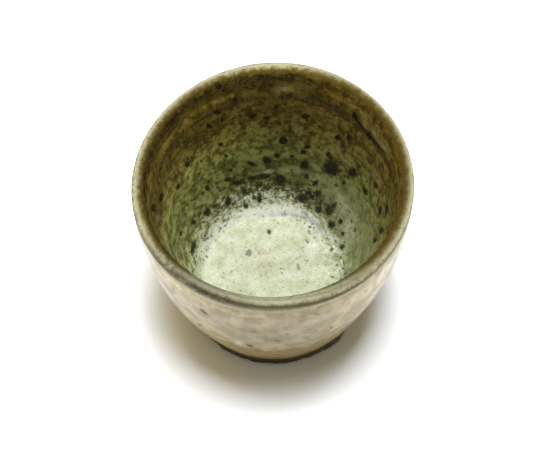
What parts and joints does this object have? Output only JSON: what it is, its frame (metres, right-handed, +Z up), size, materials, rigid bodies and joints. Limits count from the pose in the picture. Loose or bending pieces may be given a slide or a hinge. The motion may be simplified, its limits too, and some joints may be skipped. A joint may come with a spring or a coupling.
{
  "type": "soba choko cup",
  "caption": "Small handleless stoneware cup with a tapering thrown wall, a rounded lip, a low bare foot and speckled glaze coats, for dipping sauce, tea or a small serving.",
  "frame": {"origin": "middle of the foot ring, on the plane that stands on the table", "axes": "+Z up along the axis that the cup was thrown about; the cup is round, so +X and +Y are free, and the picture looks along +Y from above"},
  "size_m": [0.0798, 0.0798, 0.0665],
  "materials": {
    "stoneware": "matte bare clay",
    "inner_glaze": "satin, speckled",
    "rim_glaze": "satin",
    "outer_glaze": "satin, speckled"
  },
  "bodies": {
    "root": {"stoneware_body": "stoneware", "inner_glaze": "inner_glaze", "rim_glaze": "rim_glaze", "outer_glaze": "outer_glaze"}
  },
  "joints": []
}
